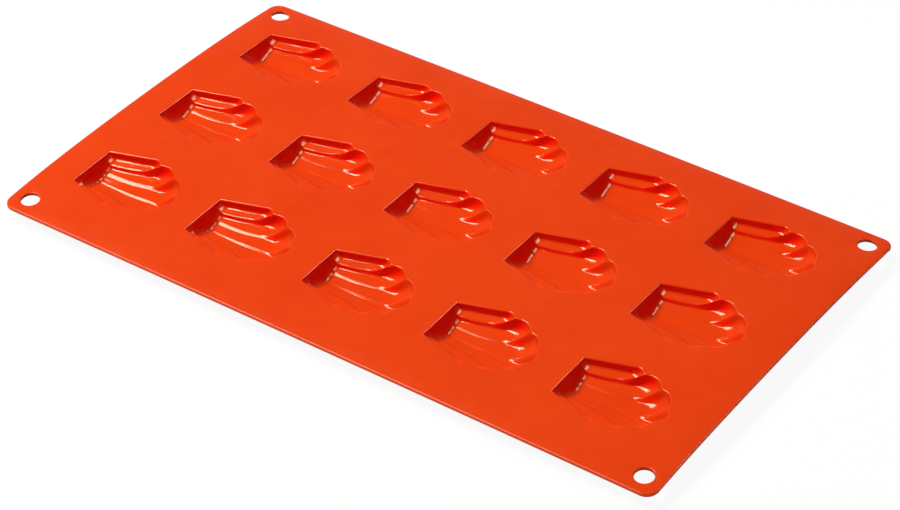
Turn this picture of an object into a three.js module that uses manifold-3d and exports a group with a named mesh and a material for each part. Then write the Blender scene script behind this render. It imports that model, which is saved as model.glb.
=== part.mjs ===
// Silicone baking mould: a thin flexible sheet with fifteen scallop-shell cups for small cakes.
// Millimetres. +X runs along the long side towards the scalloped tips, +Y to the back, +Z up.
// The origin is under the middle of the sheet, on the surface that the cups stand on.

import * as THREE from 'three';
import * as BufferGeometryUtils from 'three/addons/utils/BufferGeometryUtils.js';
import Module from 'manifold-3d';

// Sheet
const sheetLength = 300;
const sheetWidth = 175;
const sheetThickness = 1.5;
const cornerRadius = 5;

// Hanging holes, one in each corner
const holeDiameter = 7.5;
const holeInset = 8;

// Pattern of cups, and the plain borders that it leaves between the outer mouths and the sheet's edges
const columns = 5;
const rowNames = ['front', 'middle', 'back'];
const squareEndBorder = 14.6;
const tipBorder = 17;
const frontBorder = 20.2;
const backBorder = 16.4;

// Mouth of one cup: a square end, two straight sides that spread, and seven scallops
const cupLength = 42;
const cupWidth = 34;
const endWidth = 21.8;
const scallopBulge = 2.1;
const shoulderBulge = 0.7;
// Places along the length and across the half width: the shoulder, then the cusps from outside in
const shoulder = { along: 0.46, across: 1 };
const cusps = [
  { along: 0.545, across: 0.87 },
  { along: 0.774, across: 0.674 },
  { along: 0.948, across: 0.235 },
];
// Where the ridges between the fingers meet the square end, as shares of its half width
const endRidges = [0.76, 0.43, 0.145];
// The sides are straight; the fingers leave the square end nearly side by side and fan out towards the tips
const fanPower = 1.6;
// The mouth grows outwards from this place along the cup
const fanCentreAlong = 0.46;

// Floors of the fingers, from the side to the middle: terraces that step down to the middle finger.
// Depths are below the sheet's top, edges are shares of the finger's width, and a scoop is the length of
// the round rise to the finger's tip.
const floors = [
  { outerDepth: 3.5, innerDepth: 4.2, outerEdge: 0.15, innerEdge: 0.8, scoop: 3.5 },
  { outerDepth: 5.4, innerDepth: 5.4, outerEdge: 0.27, innerEdge: 0.8, scoop: 5.5 },
  { outerDepth: 5.9, innerDepth: 6.4, outerEdge: 0.35, innerEdge: 0.8, scoop: 9 },
  { outerDepth: 7.2, innerDepth: 7.3, outerEdge: 0.3, innerEdge: 0.5, scoop: 10 },
];
// A ridge leaves the floor outside it at this distance from its cusp, and climbs more evenly than a scoop
const ridgeClimbs = [8, 9, 10];
const ridgePower = 1.7;

// The square end is a sloped wall: its run for each millimetre of depth
const endWallSlope = 0.43;

// Wall of a cup, and how much of its belly is flattened where it stands
const cupWall = 1.5;
const bellyFlat = 0.3;

// Fineness of the curved faces: distances from the tip at which a finger's line is bent
const insideBends = [10, 7, 4.5, 2.5, 1, 0.25];
const outsideBends = [10, 6, 3, 1];
const arcSegments = 8;

// Spacing of the cups, and how far the pattern's middle lies from the sheet's middle
const columnPitch = (sheetLength - squareEndBorder - tipBorder - cupLength) / (columns - 1);
const rowPitch = (sheetWidth - frontBorder - backBorder - cupWidth) / (rowNames.length - 1);
const patternShiftX = (squareEndBorder - tipBorder) / 2;
const patternShiftY = (frontBorder - backBorder) / 2;

// Levels
const cavityDepth = floors.at(-1).innerDepth;
const sheetTop = cavityDepth + cupWall - bellyFlat;
const sheetUnderside = sheetTop - sheetThickness;
const cutOverrun = 2;
const weldDistance = 1e-5;

const wasm = await Module();
wasm.setup();

function toSolid(geometry) {
  const bare = geometry.clone();
  bare.deleteAttribute('normal');
  bare.deleteAttribute('uv');
  const merged = BufferGeometryUtils.mergeVertices(bare, weldDistance);
  return new wasm.Manifold(
    new wasm.Mesh({
      numProp: 3,
      vertProperties: new Float32Array(merged.attributes.position.array),
      triVerts: new Uint32Array(merged.index.array),
    }),
  );
}

function toGeometry(solid) {
  const mesh = solid.getMesh();
  const geometry = new THREE.BufferGeometry();
  geometry.setAttribute('position', new THREE.BufferAttribute(new Float32Array(mesh.vertProperties), 3));
  geometry.setIndex(new THREE.BufferAttribute(new Uint32Array(mesh.triVerts), 1));
  geometry.computeVertexNormals();
  return geometry;
}

function mix(a, b, share) {
  return a + (b - a) * share;
}

// Corners of the mouth from the front shoulder round the tip to the back one, grown outwards all round
function fanPoints(grow) {
  const halfWidth = cupWidth / 2;
  const place = ({ along, across }) => new THREE.Vector2((along - 0.5) * cupLength, across * halfWidth);
  const fanCentre = new THREE.Vector2((fanCentreAlong - 0.5) * cupLength, 0);
  const spread = (point) => {
    const outward = point.clone().sub(fanCentre).normalize();
    return point.clone().addScaledVector(outward, grow);
  };
  const back = [shoulder, ...cusps].map((share) => spread(place(share)));
  const front = back.map((point) => new THREE.Vector2(point.x, -point.y));
  return [...front, ...back.reverse()];
}

// A point on the arc from one corner of the mouth to the next, with the arc's height over its chord
function scallopPoint(from, to, bulge, share) {
  const chord = to.clone().sub(from);
  const halfChord = chord.length() / 2;
  const outward = new THREE.Vector2(chord.y, -chord.x).normalize();
  const radius = (halfChord * halfChord + bulge * bulge) / (2 * bulge);
  const offset = mix(-halfChord, halfChord, share);
  const height = Math.sqrt(radius * radius - offset * offset) - (radius - bulge);
  return from.clone().addScaledVector(chord, share).addScaledVector(outward, height);
}

// Share of the full depth at a distance from the tip, where the rise to the tip takes a given run
function scoopRise(fromTip, run) {
  const left = 1 - Math.min(fromTip / run, 1);
  return Math.sqrt(1 - left * left);
}

function ridgeRise(fromTip, run) {
  return 1 - (1 - Math.min(fromTip / run, 1)) ** ridgePower;
}

// Lines along the cup from front to back, each from the square end to a point on a scallop. In every
// finger they are the two edges of its floor and the ridge beyond; the first and the last are the rim.
function cupLines(grow) {
  const corners = fanPoints(grow);
  const halfEnd = endWidth / 2 + grow;
  const middle = floors.length - 1;
  const endShares = [1, ...endRidges, -endRidges.at(-1)];
  const makeLine = (finger, share, depth, riseAt) => {
    const bulge = finger === 0 ? shoulderBulge : scallopBulge;
    const endShare = mix(endShares[finger], endShares[finger + 1], share);
    return {
      end: new THREE.Vector2(-cupLength / 2 - grow, -halfEnd * endShare),
      tip: scallopPoint(corners[finger], corners[finger + 1], bulge, share),
      power: finger === 0 ? mix(1, fanPower, share) : fanPower,
      fall: Math.max(depth - sheetThickness, 0),
      riseAt,
    };
  };
  const front = [makeLine(0, 0, 0, () => 0)];
  floors.forEach(({ outerDepth, innerDepth, outerEdge, innerEdge, scoop }, finger) => {
    const riseAt = (fromTip) => scoopRise(fromTip, scoop);
    front.push(makeLine(finger, outerEdge, outerDepth, riseAt));
    front.push(makeLine(finger, innerEdge, innerDepth, riseAt));
    if (finger < middle) {
      front.push(makeLine(finger, 1, innerDepth, (fromTip) => ridgeRise(fromTip, ridgeClimbs[finger])));
    }
  });
  const mirrored = front.slice(0, -1).map((line) => ({
    ...line,
    end: new THREE.Vector2(line.end.x, -line.end.y),
    tip: new THREE.Vector2(line.tip.x, -line.tip.y),
  }));
  return [...front, ...mirrored.toReversed()];
}

// Points of one line: down the end wall, along the floor and up to the tip
function linePoints({ end, tip, power, fall, riseAt }, bends, floorDrop) {
  const span = tip.x - end.x;
  const stations = [
    { along: 0, drop: 0 },
    { along: (endWallSlope * (fall + floorDrop)) / span, drop: fall },
    ...bends.map((fromTip) => ({ along: 1 - fromTip / span, drop: fall * riseAt(fromTip) })),
    { along: 1, drop: 0 },
  ];
  return stations.map(({ along, drop }) => {
    const x = mix(end.x, tip.x, along);
    const y = mix(end.y, tip.y, along ** power);
    return new THREE.Vector3(x, y, sheetUnderside - (drop > 0 ? drop + floorDrop : 0));
  });
}

// Outer points of a grid of lines, in order round it
function rimOf(grid) {
  const between = grid.slice(1, -1);
  return [
    ...grid.at(0),
    ...between.map((line) => line.at(-1)),
    ...grid.at(-1).toReversed(),
    ...between.map((line) => line.at(0)).toReversed(),
  ];
}

// Closed body of the fluted surface hung from the sheet's underside, up to a flat top
function shellSolid(lines, bends, floorDrop, topLevel) {
  const surface = lines.map((line) => linePoints(line, bends, floorDrop));
  const lid = surface.map((points) => points.map(({ x, y }) => new THREE.Vector3(x, y, topLevel)));
  const positions = [];
  const quad = (p, q, r, s) => positions.push(...p, ...q, ...r, ...p, ...r, ...s);
  for (let i = 1; i < surface.length; i += 1) {
    for (let j = 1; j < surface[i].length; j += 1) {
      quad(surface[i - 1][j - 1], surface[i][j - 1], surface[i][j], surface[i - 1][j]);
      quad(lid[i - 1][j - 1], lid[i - 1][j], lid[i][j], lid[i][j - 1]);
    }
  }
  if (topLevel > sheetUnderside) {
    const rim = rimOf(surface);
    const lidRim = rimOf(lid);
    rim.forEach((point, i) => {
      const next = (i + 1) % rim.length;
      quad(point, rim[next], lidRim[next], lidRim[i]);
    });
  }
  const geometry = new THREE.BufferGeometry();
  geometry.setAttribute('position', new THREE.Float32BufferAttribute(positions, 3));
  return toSolid(geometry);
}

// One cup: the outside less the cavity, with the belly cut flat at the level that it stands on
function cupGeometry(cavityLines) {
  const outside = shellSolid(cupLines(cupWall), outsideBends, cupWall, sheetUnderside);
  const cavity = shellSolid(cavityLines, insideBends, 0, sheetUnderside + cutOverrun);
  const underFloor = new THREE.BoxGeometry(2 * cupLength, 2 * cupWidth, 2 * cutOverrun);
  underFloor.translate(0, 0, -cutOverrun);
  return toGeometry(outside.subtract(cavity).subtract(toSolid(underFloor)));
}

// The sheet: round corners, a mouth over each cup and a hanging hole in each corner
function sheetGeometry(mouth, places) {
  const x = sheetLength / 2;
  const y = sheetWidth / 2;
  const r = cornerRadius;
  const outline = new THREE.Shape();
  outline.absarc(x - r, y - r, r, 0, Math.PI / 2);
  outline.absarc(-x + r, y - r, r, Math.PI / 2, Math.PI);
  outline.absarc(-x + r, -y + r, r, Math.PI, 1.5 * Math.PI);
  outline.absarc(x - r, -y + r, r, 1.5 * Math.PI, 2 * Math.PI);
  for (const place of places) {
    outline.holes.push(new THREE.Path(mouth.map((point) => point.clone().add(place))));
  }
  for (const sideX of [-1, 1]) {
    for (const sideY of [-1, 1]) {
      const hole = new THREE.Path();
      hole.absarc(sideX * (x - holeInset), sideY * (y - holeInset), holeDiameter / 2, 0, 2 * Math.PI);
      outline.holes.push(hole);
    }
  }
  const geometry = new THREE.ExtrudeGeometry(outline, {
    depth: sheetThickness,
    bevelEnabled: false,
    curveSegments: arcSegments,
  });
  return geometry.translate(0, 0, sheetUnderside);
}

const cavityLines = cupLines(0);
const mouth = [cavityLines.at(0).end, ...cavityLines.map(({ tip }) => tip), cavityLines.at(-1).end];

const sheetSilicone = new THREE.MeshStandardMaterial({ color: 0xe8421a, roughness: 0.35, metalness: 0 });
const cupSilicone = new THREE.MeshStandardMaterial({ color: 0xdf3a16, roughness: 0.25, metalness: 0 });

const group = new THREE.Group();
const cupShape = cupGeometry(cavityLines);
const places = [];
rowNames.forEach((rowName, row) => {
  for (let column = 0; column < columns; column += 1) {
    const place = new THREE.Vector2(
      (column - (columns - 1) / 2) * columnPitch + patternShiftX,
      (row - (rowNames.length - 1) / 2) * rowPitch + patternShiftY,
    );
    const cup = new THREE.Mesh(cupShape, cupSilicone);
    cup.name = `cup_${rowName}_${column + 1}`;
    cup.position.set(place.x, place.y, 0);
    group.add(cup);
    places.push(place);
  }
});

const sheet = new THREE.Mesh(sheetGeometry(mouth, places), sheetSilicone);
sheet.name = 'sheet';
group.add(sheet);

export default group;
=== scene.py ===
# Looks of the silicone shell mould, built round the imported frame. Metres, +Z up.
import bpy
import bmesh
import functools
import math
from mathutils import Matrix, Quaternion, Vector


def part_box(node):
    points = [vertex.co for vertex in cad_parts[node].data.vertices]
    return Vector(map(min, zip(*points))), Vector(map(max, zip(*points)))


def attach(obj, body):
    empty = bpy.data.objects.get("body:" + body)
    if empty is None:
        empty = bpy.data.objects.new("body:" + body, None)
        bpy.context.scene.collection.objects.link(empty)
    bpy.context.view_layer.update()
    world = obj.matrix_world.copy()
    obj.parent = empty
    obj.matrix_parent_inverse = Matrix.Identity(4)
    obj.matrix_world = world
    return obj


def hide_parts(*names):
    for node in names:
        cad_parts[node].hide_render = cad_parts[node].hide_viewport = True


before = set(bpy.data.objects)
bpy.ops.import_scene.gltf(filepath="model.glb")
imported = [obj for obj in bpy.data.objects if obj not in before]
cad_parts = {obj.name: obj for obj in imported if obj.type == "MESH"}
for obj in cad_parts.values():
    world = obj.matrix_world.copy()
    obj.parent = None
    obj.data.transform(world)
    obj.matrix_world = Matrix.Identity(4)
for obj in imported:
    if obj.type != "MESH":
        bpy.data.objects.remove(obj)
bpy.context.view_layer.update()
sheetLow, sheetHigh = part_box("sheet")
sheetTop = sheetHigh.z
sheetThick = sheetHigh.z - sheetLow.z
cupNodes = sorted(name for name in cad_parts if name.startswith("cup_"))
print("frame loaded:", len(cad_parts), "nodes")

# one cup: a square end, two straight sides that spread, seven fingers with scalloped tips.
# The fingers are terraces that step down to the middle one; lists run from the side to the middle.
cup = {
    "length": 0.042,
    "width": 0.034,
    "endWidth": 0.0218,
    # shoulder and cusps: share along the cup and across its half width
    "corners": ((0.46, 1.0), (0.545, 0.87), (0.774, 0.674), (0.948, 0.235)),
    "scallopBulge": 0.0023,
    "shoulderBulge": 0.0007,
    "cuspRound": 0.08,                  # share of a finger over which its cusps are rounded
    "cuspSamples": 9,
    "endRidges": (0.711, 0.44, 0.030),  # steps at the square end, shares of its half width
    "fanCentre": 0.46,                  # along the cup; the mouth's offsets spread from it
    "fanPowers": (1, 1.6, 2.6, 3.2),    # how late the rim and the steps fan out
    "sideDepths": (0.0036, 0.0030),     # under the side wall, from the square end to the shoulder
    "sideBevel": (0.0008, 0.00030),     # width and drop of the bevel at its foot
    "floorFalls": (0.0002, 0.0002, 0.00055, 0),     # how much each floor falls to the middle
    "floorRounding": 0.15,
    # drop and width of each step, at the square end and at the tip
    "stepDrops": ((0.00185, 0.00185), (0.00064, 0.00092), (0.00040, 0.00056)),
    "stepWidths": ((0.0014, 0.0036), (0.00237, 0.0021), (0.0019, 0.0014)),
    "stepLimit": 0.9,                   # most of a finger's width that a step takes up
    "bevelSlopes": (0.50, 0.60, 0.60),  # steepest bevel; the rest of a drop is a cliff in its middle
    "stepRounding": 0.25,
    "cliffShare": 0.22,                 # of the step's width
    "floorRuns": (0.0035, 0.0055, 0.0090, 0.0100),  # length over which a floor rises to its tip
    "ridgeRuns": (0.0095, 0.0095, 0.0100),          # and the ridge between two tips
    "ridgePower": 1.7,
    "outerFlanks": (0.0013, 0.0018, 0.0018),        # width of a scoop's flanks, not at the sides
    "innerFlank": 0.0013,
    "footRise": 0.0003,                 # how much shallower the floor is at the end wall's foot
    "footRun": 0.012,
    "endSlope": 0.42,                   # run of the end wall per depth
    "endHollow": 0.40,                  # how much more it leans at its corners
    "endFillet": 0.0032,
    "sideFillet": 0.0003,
    "lip": 0.0008,
    "lipInside": 0.0003,                # how much of the lip lies inside the mouth's line
    "lipSteps": 7,
    "collar": 0.0007,                   # how far the cup's rim reaches into the sheet
    "wall": 0.0015,
    "rootFillet": 0.0010,               # fillet under the sheet
    "stepsPerFinger": 18,
    "outerSteps": 14,                   # in the outer fingers, after the ones at the wall
    # where those lie, from the rim
    "wallSteps": (0.0, 0.00003, 0.0001, 0.0002, 0.00034, 0.0005, 0.00066, 0.00082, 0.001),
    "endRows": 18,
    "endRowGap": 0.00026,
    "floorRows": 40,
    "rowPower": 1.8,                    # how much closer the rows lie towards the tip
    "mergeGap": 0.000005,
    # where the walls' painted shade (a deeper red standing in for shade and red bounce light) fades
    # out,
    # and over how much: on faces that look up, on faces turned to the square end, and along the cup
    # towards the tips
    "paintedShadeUp": (0.86, 0.40),
    "paintedShadeTurn": (0.55, 0.5),
    "paintedShadeAlong": (0.85, 0.2),
}
middleFinger = len(cup["endRidges"])    # fingers are counted from 0, front to back
lastFinger = 2 * middleFinger

# the sheet lies a little high in the middle and its long borders hang
sag = {"lift": 0.0010, "y2": -0.0013, "y4": -0.0012, "x2": 0.0002, "x2y2": -0.0007}


def sagAt(x, y):
    along = x / sheetHigh.x
    across = y / sheetHigh.y
    fall = sag["y2"] * across ** 2 + sag["y4"] * across ** 4
    return sag["lift"] + fall + sag["x2"] * along ** 2 + sag["x2y2"] * (along * across) ** 2


def mix(a, b, share):
    return a + (b - a) * share


def softMin(a, b, blend):
    overlap = max(blend - abs(a - b), 0) / blend
    return min(a, b) - overlap * overlap * blend / 4


# corners of the mouth from the front shoulder round the tip to the back one
def mouthCorners(grow):
    fanCentre = Vector(((cup["fanCentre"] - 0.5) * cup["length"], 0))
    back = []
    for along, across in cup["corners"]:
        point = Vector(((along - 0.5) * cup["length"], across * cup["width"] / 2))
        back.append(point + (point - fanCentre).normalized() * grow)
    front = [Vector((point.x, -point.y)) for point in back]
    return front + back[::-1]


# edges of the fingers at the square end, as shares of its half width
def endEdges():
    half = [1, *cup["endRidges"]]
    return [-share for share in half] + half[::-1]


def scallopPoint(start, end, bulge, share):
    chord = end - start
    half = chord.length / 2
    outward = Vector((chord.y, -chord.x)).normalized()
    radius = (half * half + bulge * bulge) / (2 * bulge)
    offset = mix(-half, half, share)
    height = math.sqrt(radius * radius - offset * offset) - (radius - bulge)
    return start + chord * share + outward * height


# the scalloped edge at a place counted in fingers, its cusps rounded by averaging
def tipPoint(corners, place):
    reach = min(cup["cuspRound"], place, lastFinger + 1 - place)
    samples = cup["cuspSamples"]
    total = Vector((0, 0))
    for k in range(samples):
        spot = place + mix(-reach, reach, k / (samples - 1))
        finger = min(int(spot), lastFinger)
        bulge = cup["shoulderBulge"] if finger in (0, lastFinger) else cup["scallopBulge"]
        total += scallopPoint(corners[finger], corners[finger + 1], bulge, spot - finger)
    return total / samples


# columns across the cup: finger, its share at the square end and at the tip
def acrossColumns():
    corners = mouthCorners(0)
    endFinger = (1 - cup["endRidges"][0]) * cup["endWidth"] / 2
    tipFinger = (corners[1] - corners[0]).length
    steps = cup["stepsPerFinger"]
    rimSide = [(offset / endFinger, offset / tipFinger) for offset in cup["wallSteps"]]
    lastEnd, lastTip = rimSide[-1]
    rest = cup["outerSteps"]
    rimSide += [(mix(lastEnd, 1, k / rest), mix(lastTip, 1, k / rest)) for k in range(1, rest + 1)]
    made = [(0, end, tip) for end, tip in rimSide]
    for finger in range(1, lastFinger):
        made += [(finger, k / steps, k / steps) for k in range(1, steps + 1)]
    made += [(lastFinger, 1 - end, 1 - tip) for end, tip in rimSide[-2::-1]]
    return made


columns = acrossColumns()
rowCount = cup["endRows"] + cup["floorRows"]


# the two ends of one line along the cup, for a mouth grown outwards
@functools.lru_cache(maxsize=None)
def lineEnds(column, grow):
    finger, endShare, tipShare = columns[column]
    edges = endEdges()
    endY = mix(edges[finger], edges[finger + 1], endShare) * (cup["endWidth"] / 2 + grow)
    end = Vector((-cup["length"] / 2 - grow, endY))
    return end, tipPoint(mouthCorners(grow), finger + tipShare)


# straight along the sides, fanning in the middle
def fanPowerAt(column):
    finger, _, tipShare = columns[column]
    powers = cup["fanPowers"] + cup["fanPowers"][::-1]
    return mix(powers[finger], powers[finger + 1], tipShare)


# rows along a line: even steps down the end wall, then closer and closer towards the tip
def rowShare(row, lineLength):
    wallEnd = cup["endRows"] * cup["endRowGap"] / lineLength
    if row <= cup["endRows"]:
        return row * cup["endRowGap"] / lineLength
    share = (row - cup["endRows"]) / cup["floorRows"]
    return mix(wallEnd, 1, 1 - (1 - share) ** cup["rowPower"])


def planPoint(column, row, grow):
    end, tip = lineEnds(column, grow)
    share = rowShare(row, tip.x - end.x)
    return Vector((mix(end.x, tip.x, share), mix(end.y, tip.y, share ** fanPowerAt(column)))), share


def smooth(share):
    share = min(max(share, 0), 1)
    return share * share * (3 - 2 * share)


# 0 at the tip, 1 where the floor is level: a finger's tip is round, a ridge climbs straighter
def floorRise(fromTip, run):
    left = 1 - min(fromTip / run, 1)
    return math.sqrt(1 - left * left)


def ridgeRise(fromTip, run):
    return 1 - (1 - min(fromTip / run, 1)) ** cup["ridgePower"]


def fingerWidth(finger, share):
    edges = endEdges()
    corners = mouthCorners(0)
    atEnd = (edges[finger + 1] - edges[finger]) * cup["endWidth"] / 2
    atTip = (corners[finger + 1] - corners[finger]).length
    innerEdge = min(min(finger, lastFinger - finger) + 1, middleFinger)
    return mix(abs(atEnd), atTip, share ** cup["fanPowers"][innerEdge])


# a ramp from 0 to 1 with round ends
def ramp(share, rounding):
    share = min(max(share, 0), 1)
    steep = 1 / (1 - rounding)
    if share < rounding:
        return steep * share * share / (2 * rounding)
    if share > 1 - rounding:
        return 1 - steep * (1 - share) ** 2 / (2 * rounding)
    return steep * (share - rounding / 2)


def stepDrop(step, share):
    return mix(*cup["stepDrops"][step], share)


# a step between two floors: a bevel, a cliff and another bevel
def stepDepth(step, share, across, past):
    rounding = cup["stepRounding"]
    drop = stepDrop(step, share)
    bevel = min(cup["bevelSlopes"][step] * across * (1 - rounding), drop)
    cliff = ramp(0.5 + past / (across * cup["cliffShare"]), 0.5)
    return bevel * ramp(0.5 + past / across, rounding) + (drop - bevel) * cliff


# depth of the terraces, which step down to the middle finger
def terraceDepth(fromRim, share, fromOuter, width):
    fromSide = fromOuter / width if fromRim == 0 else 1
    depth = mix(*cup["sideDepths"], share * (1 - fromSide))
    depth += sum(cup["floorFalls"][:fromRim])
    depth += sum(stepDrop(step, share) for step in range(fromRim - 1))
    flatStart = 0
    flatEnd = width
    if fromRim == 0:
        bevelWidth, bevelDrop = cup["sideBevel"]
        depth -= bevelDrop * (1 - ramp(fromOuter / bevelWidth, cup["stepRounding"]))
    else:
        across = mix(*cup["stepWidths"][fromRim - 1], share)
        flatStart = min(across, width) / 2
        depth += stepDepth(fromRim - 1, share, across, fromOuter)
    if fromRim < middleFinger:
        across = mix(*cup["stepWidths"][fromRim], share)
        flatEnd = width - min(across, width * cup["stepLimit"]) / 2
        depth += stepDepth(fromRim, share, across, fromOuter - width)
    fallen = ramp((fromOuter - flatStart) / (flatEnd - flatStart), cup["floorRounding"])
    return depth + cup["floorFalls"][fromRim] * fallen


# share of the depth near the tips: each finger is a scoop, and the ridges between them climb sooner
def tipRise(fromRim, fromOuter, width, fromTip):
    rise = floorRise(fromTip, cup["floorRuns"][fromRim])
    climbs = [ridgeRise(fromTip, run) for run in cup["ridgeRuns"]]
    if fromRim < middleFinger:
        flank = min(cup["innerFlank"], width / 2)
        rise = mix(climbs[fromRim], rise, smooth((width - fromOuter) / flank))
    if fromRim > 0:
        flank = min(cup["outerFlanks"][fromRim - 1], width / 2)
        rise = mix(climbs[fromRim - 1], rise, smooth(fromOuter / flank))
    return rise


def floorDepth(column, share, fromTip):
    finger, _, tipShare = columns[column]
    fromRim = min(finger, lastFinger - finger)
    width = fingerWidth(finger, share)
    fromOuter = width * (tipShare if finger < middleFinger else 1 - tipShare)
    if finger == middleFinger:
        fromOuter = width * min(tipShare, 1 - tipShare)
        width /= 2
    return terraceDepth(fromRim, share, fromOuter, width) * tipRise(fromRim, fromOuter, width, fromTip)


# the side wall drops straight and ends in a fillet
def sideRise(away, depth):
    fillet = min(cup["sideFillet"], depth)
    left = fillet - min(max(away, 0), fillet)
    return depth - fillet + math.sqrt(fillet * fillet - left * left)


# how far a point lies inside the straight side of the mouth
def sideDistance(point, grow):
    corner = Vector((-cup["length"] / 2 - grow, cup["endWidth"] / 2 + grow))
    shoulder = mouthCorners(grow)[-1]
    side = (shoulder - corner).normalized()
    away = Vector((-side.y, side.x))
    return -(Vector((point.x, abs(point.y))) - corner).dot(away)


# a point of the fluted surface, inside or outside the wall; z is below the sheet's top
def shellPoint(column, row, grow, start, drop):
    point, share = planPoint(column, row, grow)
    if row in (0, rowCount) or column in (0, len(columns) - 1):
        return Vector((point.x, point.y, -start))
    end, tip = lineEnds(column, grow)
    fromTip = (tip - end).length * (1 - share)
    fromEnd = (tip - end).length * share
    floor = floorDepth(column, share, fromTip)
    floor = floor - cup["footRise"] * (1 - smooth(fromEnd / cup["footRun"]))
    floor = max(floor + (drop - start) * floorRise(fromTip, cup["floorRuns"][0]), 0)
    lean = cup["endSlope"] * (1 + cup["endHollow"] * (2 * point.y / cup["endWidth"]) ** 2)
    endWall = (point.x + cup["length"] / 2 + grow) / lean
    floor = sideRise(sideDistance(point, grow), floor)
    depth = softMin(floor, endWall, cup["endFillet"])
    return Vector((point.x, point.y, -start - max(depth, 0)))


def deselectAll():
    if bpy.context.object and bpy.context.object.mode != "OBJECT":
        bpy.ops.object.mode_set(mode="OBJECT")
    bpy.ops.object.select_all(action="DESELECT")


# rim of the mouth in order: the square end, the front side, the tips and the back side
def rimPlaces():
    last = len(columns) - 1
    places = [(column, 0) for column in range(last, 0, -1)]
    places += [(0, row) for row in range(0, rowCount)]
    places += [(column, rowCount) for column in range(0, last)]
    places += [(last, row) for row in range(rowCount, 0, -1)]
    return places


def rimLoop(grow):
    return [planPoint(column, row, grow)[0] for column, row in rimPlaces()]


# grid primitive whose vertices take their places on the fluted surface; the rim's are numbered from 1
def addShell(name, grow, start, drop):
    deselectAll()
    bpy.ops.mesh.primitive_grid_add(x_subdivisions=len(columns) - 1, y_subdivisions=rowCount, size=2)
    shell = bpy.context.object
    shell.name = name
    rim = shell.data.attributes.new("rim", "INT", "POINT")
    numbers = {place: number for number, place in enumerate(rimPlaces(), 1)}
    for vertex in shell.data.vertices:
        column = round((vertex.co.x + 1) / 2 * (len(columns) - 1))
        row = round((vertex.co.y + 1) / 2 * rowCount)
        rim.data[vertex.index].value = numbers.get((column, row), 0)
        vertex.co = shellPoint(column, row, grow, start, drop)
    return shell


# extrudes the selected ring and puts the new one at its place
def extrudeRing(points, z):
    bpy.ops.mesh.extrude_region_move()
    mesh = bmesh.from_edit_mesh(bpy.context.object.data)
    numbers = mesh.verts.layers.int["rim"]
    for vertex in mesh.verts:
        if vertex.select:
            point = points[vertex[numbers] - 1]
            vertex.co = Vector((point.x, point.y, z))
    bmesh.update_edit_mesh(bpy.context.object.data)


# quarter-round rings: grow and height, from the wall to the flat
def lipProfile(radius, steps):
    angles = [math.pi / 2 * k / steps for k in range(1, steps + 1)]
    return [(radius * (1 - math.cos(angle)), radius * (math.sin(angle) - 1)) for angle in angles]


# how much painted shade a vertex has: the deeper red that stands in for shade and red bounce light on
# walls
def paintedWallShade(vertex):
    upLimit, upRun = cup["paintedShadeUp"]
    turnLimit, turnRun = cup["paintedShadeTurn"]
    alongLimit, alongRun = cup["paintedShadeAlong"]
    along = vertex.co.x / cup["length"] + 0.5
    shadeShare = smooth((vertex.normal.x + turnLimit) / turnRun) * smooth((alongLimit - along) / alongRun)
    return shadeShare * smooth((upLimit - abs(vertex.normal.z)) / upRun)


def modelCup():
    rootStart = sheetThick + cup["rootFillet"]
    outside = addShell("cupOutside", cup["wall"], rootStart, cup["wall"])
    for vertex in outside.data.vertices:
        vertex.co.z = max(vertex.co.z, -sheetTop)
    inside = addShell("cup", -cup["lipInside"], cup["lip"], 0)
    bpy.ops.object.mode_set(mode="EDIT")
    bpy.ops.mesh.select_mode(type="VERT")
    bpy.ops.mesh.select_all(action="DESELECT")
    bpy.ops.mesh.select_non_manifold()
    for grow, z in lipProfile(cup["lip"], cup["lipSteps"]):
        extrudeRing(rimLoop(grow - cup["lipInside"]), z)
    extrudeRing(rimLoop(cup["collar"]), 0)
    extrudeRing(rimLoop(cup["collar"]), -sheetThick)
    root = cup["rootFillet"]
    extrudeRing(rimLoop(cup["wall"] + root), -sheetThick)
    for grow, z in lipProfile(root, cup["lipSteps"]):
        extrudeRing(rimLoop(cup["wall"] - z), -sheetThick - grow)
    deselectAll()
    outside.select_set(True)
    inside.select_set(True)
    bpy.context.view_layer.objects.active = inside
    bpy.ops.object.join()
    bpy.ops.object.mode_set(mode="EDIT")
    bpy.ops.mesh.select_all(action="SELECT")
    bpy.ops.mesh.remove_doubles(threshold=cup["mergeGap"])
    bpy.ops.mesh.normals_make_consistent(inside=False)
    bpy.ops.object.mode_set(mode="OBJECT")
    depth = inside.data.attributes.new("depth", "FLOAT", "POINT")
    # the steep attribute carries the walls' painted shade, a deeper red where shade falls
    steep = inside.data.attributes.new("steep", "FLOAT", "POINT")
    for vertex in inside.data.vertices:
        depth.data[vertex.index].value = -vertex.co.z
        steep.data[vertex.index].value = paintedWallShade(vertex)
    return inside


# moves a finished mesh to its place on the sagging sheet; its heights are below the sheet's top
def layOnSheet(piece, centre):
    for vertex in piece.data.vertices:
        x = vertex.co.x + centre.x
        y = vertex.co.y + centre.y
        vertex.co = Vector((x, y, vertex.co.z + sheetTop + sagAt(x, y)))
    piece.data.update()


sharpAngle = math.radians(38)           # edges sharper than this are not shaded smooth


def finishPiece(piece, name, material):
    deselectAll()
    piece.select_set(True)
    bpy.context.view_layer.objects.active = piece
    bpy.ops.object.shade_smooth_by_angle(angle=sharpAngle)
    piece.name = name
    piece.data.name = name
    piece.data.materials.clear()
    piece.data.materials.append(material)
    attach(piece, "root")


# the middle of a cup's mouth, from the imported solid's box
def mouthCentre(node):
    low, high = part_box(node)
    return Vector((low.x + cup["wall"] + cup["length"] / 2, (low.y + high.y) / 2))


# the sheet: round corners, rounded edges, a cut for each cup's collar and four hanging holes
sheet = {
    "cornerRadius": 0.005,
    "cornerSteps": 10,
    "edgeRadius": 0.00045,
    "edgeSteps": 4,
    "edgeGap": 0.005,
    "holeRadius": 0.00375,
    "holeInset": 0.008,
    "holeSteps": 56,
    "cuts": (30, 30),                   # along and across
    "levelGap": 1e-7,                   # within which edges count as lying in one plane
}


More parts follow.
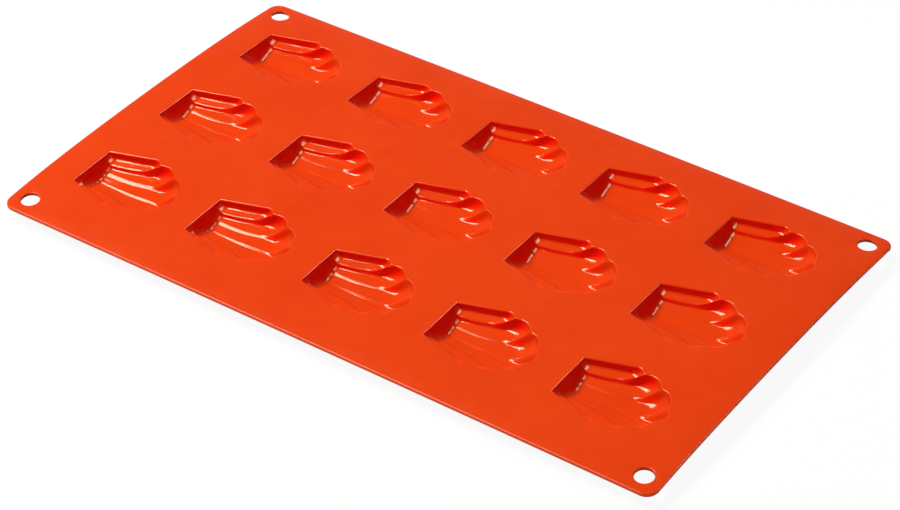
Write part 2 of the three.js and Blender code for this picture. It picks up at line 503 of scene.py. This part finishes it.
# outline of the sheet, drawn in by a margin
def sheetOutline(margin):
    radius = sheet["cornerRadius"] - margin
    halfX = sheetHigh.x - sheet["cornerRadius"]
    halfY = sheetHigh.y - sheet["cornerRadius"]
    points = []
    for quarter, (sideX, sideY) in enumerate(((1, 1), (-1, 1), (-1, -1), (1, -1))):
        for k in range(sheet["cornerSteps"] + 1):
            angle = math.pi / 2 * (quarter + k / sheet["cornerSteps"])
            x = sideX * halfX + radius * math.cos(angle)
            y = sideY * halfY + radius * math.sin(angle)
            points.append(Vector((x, y)))
        straight = 2 * (halfX if quarter % 2 == 0 else halfY)
        pieces = round(straight / sheet["edgeGap"])
        along = Vector(((-1, 0), (0, -1), (1, 0), (0, 1))[quarter])
        corner = points[-1].copy()
        points += [corner + along * straight * k / pieces for k in range(1, pieces)]
    return points


def holeLoop(centre, radius):
    angles = [2 * math.pi * k / sheet["holeSteps"] for k in range(sheet["holeSteps"])]
    return [centre + Vector((math.cos(angle), math.sin(angle))) * radius for angle in angles]


# a ring of edges in the mesh that is being edited, numbered from 1
def addRing(points, z):
    bpy.ops.mesh.select_all(action="DESELECT")
    bpy.ops.mesh.primitive_circle_add(vertices=len(points), radius=1)
    mesh = bmesh.from_edit_mesh(bpy.context.object.data)
    numbers = mesh.verts.layers.int["rim"]
    ring = [vertex for vertex in mesh.verts if vertex.select]
    for number, vertex in enumerate(ring, 1):
        vertex[numbers] = number
        vertex.co = Vector((points[number - 1].x, points[number - 1].y, z))
    bmesh.update_edit_mesh(bpy.context.object.data)


# a wall with rounded edges from the sheet's top to its underside
def addEdge(loopAt):
    profile = lipProfile(sheet["edgeRadius"], sheet["edgeSteps"])
    flat = (sheet["edgeRadius"], 0)
    down = [flat] + profile[-2::-1] + [(0, -sheet["edgeRadius"])]
    up = [(margin, -sheetThick - z) for margin, z in down[::-1]]
    for k, (margin, z) in enumerate(down + up):
        if k == 0:
            addRing(loopAt(margin), z)
        else:
            extrudeRing(loopAt(margin), z)


def fillFlat(z):
    mesh = bmesh.from_edit_mesh(bpy.context.object.data)
    for vertex in mesh.verts:
        vertex.select = False
    for edge in mesh.edges:
        level = all(abs(vertex.co.z - z) < sheet["levelGap"] for vertex in edge.verts)
        edge.select = level and len(edge.link_faces) == 1
    mesh.select_flush_mode()
    bmesh.update_edit_mesh(bpy.context.object.data)
    bpy.ops.mesh.fill()


def modelSheet():
    deselectAll()
    bpy.ops.mesh.primitive_circle_add(vertices=3, radius=1)
    piece = bpy.context.object
    piece.data.attributes.new("rim", "INT", "POINT")
    bpy.ops.object.mode_set(mode="EDIT")
    bpy.ops.mesh.select_mode(type="EDGE")
    bpy.ops.mesh.select_all(action="SELECT")
    bpy.ops.mesh.delete(type="VERT")
    addEdge(sheetOutline)
    holeX = sheetHigh.x - sheet["holeInset"]
    holeY = sheetHigh.y - sheet["holeInset"]
    for sideX in (-1, 1):
        for sideY in (-1, 1):
            centre = Vector((sideX * holeX, sideY * holeY))
            addEdge(lambda margin: holeLoop(centre, sheet["holeRadius"] + margin))
    mouth = rimLoop(cup["collar"])
    for node in cupNodes:
        centre = mouthCentre(node)
        loop = [point + centre for point in mouth]
        addRing(loop, 0)
        extrudeRing(loop, -sheetThick)
    fillFlat(0)
    fillFlat(-sheetThick)
    # cut the flats into small faces, so that the sheet can sag smoothly
    for axis, half in ((0, sheetHigh.x), (1, sheetHigh.y)):
        cuts = sheet["cuts"][axis]
        for k in range(1, cuts):
            place = [0, 0, 0]
            normal = [0, 0, 0]
            place[axis] = mix(-half, half, k / cuts)
            normal[axis] = 1
            bpy.ops.mesh.select_all(action="SELECT")
            bpy.ops.mesh.bisect(plane_co=place, plane_no=normal)
    bpy.ops.mesh.select_all(action="SELECT")
    bpy.ops.mesh.normals_make_consistent(inside=False)
    bpy.ops.object.mode_set(mode="OBJECT")
    return piece


# a socket with Python maths
class Sock:
    def __init__(self, paint, socket):
        self.paint = paint
        self.socket = socket

    def math(self, operation, first, second):
        return self.paint.node("ShaderNodeMath", {"operation": operation}, {0: first, 1: second})

    def __add__(self, other):
        return self.math("ADD", self, other)

    def __radd__(self, other):
        return self.math("ADD", other, self)

    def __sub__(self, other):
        return self.math("SUBTRACT", self, other)

    def __rsub__(self, other):
        return self.math("SUBTRACT", other, self)

    def __mul__(self, other):
        return self.math("MULTIPLY", self, other)

    def __rmul__(self, other):
        return self.math("MULTIPLY", other, self)


class Paint:
    def __init__(self, tree):
        self.tree = tree
        tree.nodes.clear()

    # makes a node, sets its settings, then fills or links its inputs
    def node(self, kind, settings=None, inputs=None, output=0):
        made = self.tree.nodes.new(kind)
        for name, value in (settings or {}).items():
            if name == "stops":
                for k, (place, colour) in enumerate(value):
                    stop = made.color_ramp.elements[k] if k < 2 else made.color_ramp.elements.new(place)
                    stop.position = place
                    stop.color = colour
            else:
                setattr(made, name, value)
        for name, value in (inputs or {}).items():
            if isinstance(value, Sock):
                self.tree.links.new(value.socket, made.inputs[name])
            else:
                made.inputs[name].default_value = value
        return Sock(self, made.outputs[output]) if made.outputs else made


def newMaterial(name):
    material = bpy.data.materials.new(name)
    material.use_nodes = True
    return material, Paint(material.node_tree)


silicone = {
    "deep": (0.70, 0.042, 0.003, 1),
    "bright": (0.755, 0.054, 0.005, 1),
    "toneRange": (0.3, 0.7),            # where the noise is deep and where it is bright
    "toneShares": (0.6, 0.25, 0.15),    # of the three noises that follow
    "clouds": {"Scale": 28, "Detail": 3, "Roughness": 0.55},
    "smudge": {"Scale": 110, "Detail": 4, "Roughness": 0.6},
    "grain": {"Scale": 1900, "Detail": 2, "Roughness": 0.6},
    "sheetRoughness": 0.25,
    "lipRoughness": 0.18,
    "cupRoughness": 0.10,
    "roughShift": -0.04,                # evens out what the next two add
    "smudgeRough": 0.06,
    "grainRough": 0.03,
    "grainBump": (0.05, 0.0002),        # strength and height
    "index": 1.41,                      # of refraction
    "lipDepth": 0.0010,                 # the gloss begins below the lip
    "sheen": (1.0, 0.90, 0.64, 1),      # tint of the gloss
    "wall": (0.95, 0.010, 0.001, 1),    # painted shade: the deep red that shade and red bounce light give steep walls
}


def siliconeMaterial(name, isCup):
    material, paint = newMaterial(name)
    place = paint.node("ShaderNodeTexCoord", output="Object")
    clouds, smudge, grain = (
        paint.node("ShaderNodeTexNoise", {}, {"Vector": place, **silicone[layer]})
        for layer in ("clouds", "smudge", "grain")
    )
    cloudShare, smudgeShare, grainShare = silicone["toneShares"]
    tint = clouds * cloudShare + smudge * smudgeShare + grain * grainShare
    stops = tuple(zip(silicone["toneRange"], (silicone["deep"], silicone["bright"])))
    colour = paint.node("ShaderNodeValToRGB", {"stops": stops}, {0: tint})
    rough = silicone["lipRoughness"] if isCup else silicone["sheetRoughness"]
    if isCup:
        # painted shade: steep walls are mixed towards a deeper red that stands in for shade and red
        # bounce light
        steep = paint.node("ShaderNodeAttribute", {"attribute_name": "steep"}, output="Fac")
        # this node's colours are its inputs 6 and 7 and its output 2
        shadeMix = {0: steep, 6: colour, 7: silicone["wall"]}
        colour = paint.node("ShaderNodeMix", {"data_type": "RGBA"}, shadeMix, 2)
        depth = paint.node("ShaderNodeAttribute", {"attribute_name": "depth"}, output="Fac")
        gloss = paint.node("ShaderNodeClamp", {}, {"Value": depth * (1 / silicone["lipDepth"])})
        rough = rough + gloss * (silicone["cupRoughness"] - rough)
    rough = rough + silicone["roughShift"]
    rough = rough + smudge * silicone["smudgeRough"] + grain * silicone["grainRough"]
    strength, height = silicone["grainBump"]
    bump = paint.node("ShaderNodeBump", {}, {"Strength": strength, "Distance": height, "Height": grain})
    shader = paint.node("ShaderNodeBsdfPrincipled", {}, {
        "Base Color": colour, "Roughness": rough, "Normal": bump,
        "IOR": silicone["index"], "Specular Tint": silicone["sheen"],
    })
    paint.node("ShaderNodeOutputMaterial", {}, {"Surface": shader})
    return material


sheetSilicone = siliconeMaterial("satinSilicone", False)
cupSilicone = siliconeMaterial("glossSilicone", True)
print("materials made")

cupShape = modelCup()
print("cup modelled:", len(cupShape.data.vertices), "vertices")
for node in cupNodes:
    deselectAll()
    cupShape.select_set(True)
    bpy.context.view_layer.objects.active = cupShape
    bpy.ops.object.duplicate()
    copy = bpy.context.object
    layOnSheet(copy, mouthCentre(node))
    finishPiece(copy, "shell_" + node, cupSilicone)
    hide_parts(node)
bpy.data.objects.remove(cupShape)
print("cups laid:", len(cupNodes))

sheetPiece = modelSheet()
layOnSheet(sheetPiece, Vector((0, 0)))
finishPiece(sheetPiece, "shell_sheet", sheetSilicone)
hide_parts("sheet")
print("sheet modelled:", len(sheetPiece.data.polygons), "faces")

# studio: pale floor, a white backdrop behind under a dark ceiling, a soft key lamp high on the left
# and a white card on the right, seen mostly in the gloss
studio = {
    "floorSize": 6,
    "floorColour": (0.9, 0.9, 0.9, 1),
    "floorLift": 0.93,                  # how much of it the camera sees as plain white
    "ceiling": 0.06,
    "backdrop": ((0.05, 1.0), (0.16, 0.15), (0.52, 0.0)),   # sine of the height, level
    "backdropSide": (-0.5, 0.7),        # where it stands
    "backdropEdge": 2,                  # how sharply it ends at its sides
    "keyPlace": (-1.155, -0.379, 2.045),
    "keySize": (0.91, 1.107),
    "keySpin": -52,                     # its turn in its own plane
    "keyPower": 71,
    "keyColour": (1.0, 0.97, 0.92),
    "card": (0.50, 0.50, 0.70),         # the direction to it
    "cardEdge": (0.962, 0.978),         # cosine of its half width
    "cardLevel": 8,
    "cardFill": 2.0,                    # what it adds to the plain light
}


def makeFloor():
    deselectAll()
    bpy.ops.mesh.primitive_plane_add(size=studio["floorSize"], location=(0, 0, 0))
    floor = bpy.context.object
    floor.name = "floor"
    material, paint = newMaterial("paleFloor")
    cameraRay = paint.node("ShaderNodeLightPath", output="Is Camera Ray")
    plain = paint.node("ShaderNodeBsdfDiffuse", {}, {"Color": studio["floorColour"]})
    white = paint.node("ShaderNodeEmission", {}, {"Color": (1, 1, 1, 1), "Strength": 1})
    lift = cameraRay * studio["floorLift"]
    both = paint.node("ShaderNodeMixShader", {}, {0: lift, 1: plain, 2: white})
    paint.node("ShaderNodeOutputMaterial", {}, {"Surface": both})
    floor.data.materials.append(material)


def makeWorld():
    world = bpy.data.worlds.new("studio")
    bpy.context.scene.world = world
    world.use_nodes = True
    paint = Paint(world.node_tree)
    cameraRay = paint.node("ShaderNodeLightPath", output="Is Camera Ray")
    direction = paint.node("ShaderNodeTexCoord", output="Generated")
    height = paint.node("ShaderNodeSeparateXYZ", {}, {0: direction}, "Z")
    stops = [(place, (level, level, level, 1)) for place, level in studio["backdrop"]]
    backdrop = paint.node("ShaderNodeValToRGB", {"stops": stops}, {0: height})
    behind = paint.node("ShaderNodeVectorMath", {"operation": "DOT_PRODUCT"}, {
        0: direction, 1: (*studio["backdropSide"], 0),
    }, "Value")
    behind = paint.node("ShaderNodeClamp", {}, {"Value": behind * studio["backdropEdge"]})
    level = backdrop * behind + studio["ceiling"]
    toCard = paint.node("ShaderNodeVectorMath", {"operation": "DOT_PRODUCT"}, {
        0: direction, 1: Vector(studio["card"]).normalized(),
    }, "Value")
    card = paint.node("ShaderNodeMapRange", {"interpolation_type": "SMOOTHSTEP"}, {
        "Value": toCard, "From Min": studio["cardEdge"][0], "From Max": studio["cardEdge"][1],
    })
    glossyRay = paint.node("ShaderNodeLightPath", output="Is Glossy Ray")
    level = level + card * (glossyRay * studio["cardLevel"] + studio["cardFill"])
    strength = level + cameraRay * (1 - level)
    light = paint.node("ShaderNodeBackground", {}, {"Color": (1, 1, 1, 1), "Strength": strength})
    paint.node("ShaderNodeOutputWorld", {}, {"Surface": light})


# turn that points an object's -Z along a direction and spins it by some degrees about that axis
def turnTo(direction, spin):
    turn = direction.to_track_quat("-Z", "Y") @ Quaternion((0, 0, 1), math.radians(spin))
    return turn.to_euler()


def makeKey():
    deselectAll()
    bpy.ops.object.light_add(type="AREA", location=studio["keyPlace"])
    lamp = bpy.context.object
    lamp.name = "key"
    lamp.data.shape = "RECTANGLE"
    lamp.data.size, lamp.data.size_y = studio["keySize"]
    lamp.data.color = studio["keyColour"]
    lamp.data.energy = studio["keyPower"]
    lamp.rotation_euler = turnTo(-Vector(studio["keyPlace"]), studio["keySpin"])


makeFloor()
makeWorld()
makeKey()

# camera at the photograph's viewing angle
view = {
    "place": (0.5279, -0.7270, 0.6754),     # over the sheet's top, like the aim
    "aim": (0.0160, -0.0181, 0.0),
    "roll": -0.85,
    "lens": 116.43,
    "sensor": 36,
}


def makeCamera():
    deselectAll()
    top = Vector((0, 0, sheetTop + sagAt(0, 0)))
    place = Vector(view["place"]) + top
    aim = Vector(view["aim"]) + top
    bpy.ops.object.camera_add(location=place)
    camera = bpy.context.object
    camera.data.lens = view["lens"]
    camera.data.sensor_width = view["sensor"]
    camera.rotation_euler = turnTo(aim - place, view["roll"])
    bpy.context.scene.camera = camera


makeCamera()
bpy.context.scene.view_settings.view_transform = "Standard"
print("studio and camera set")
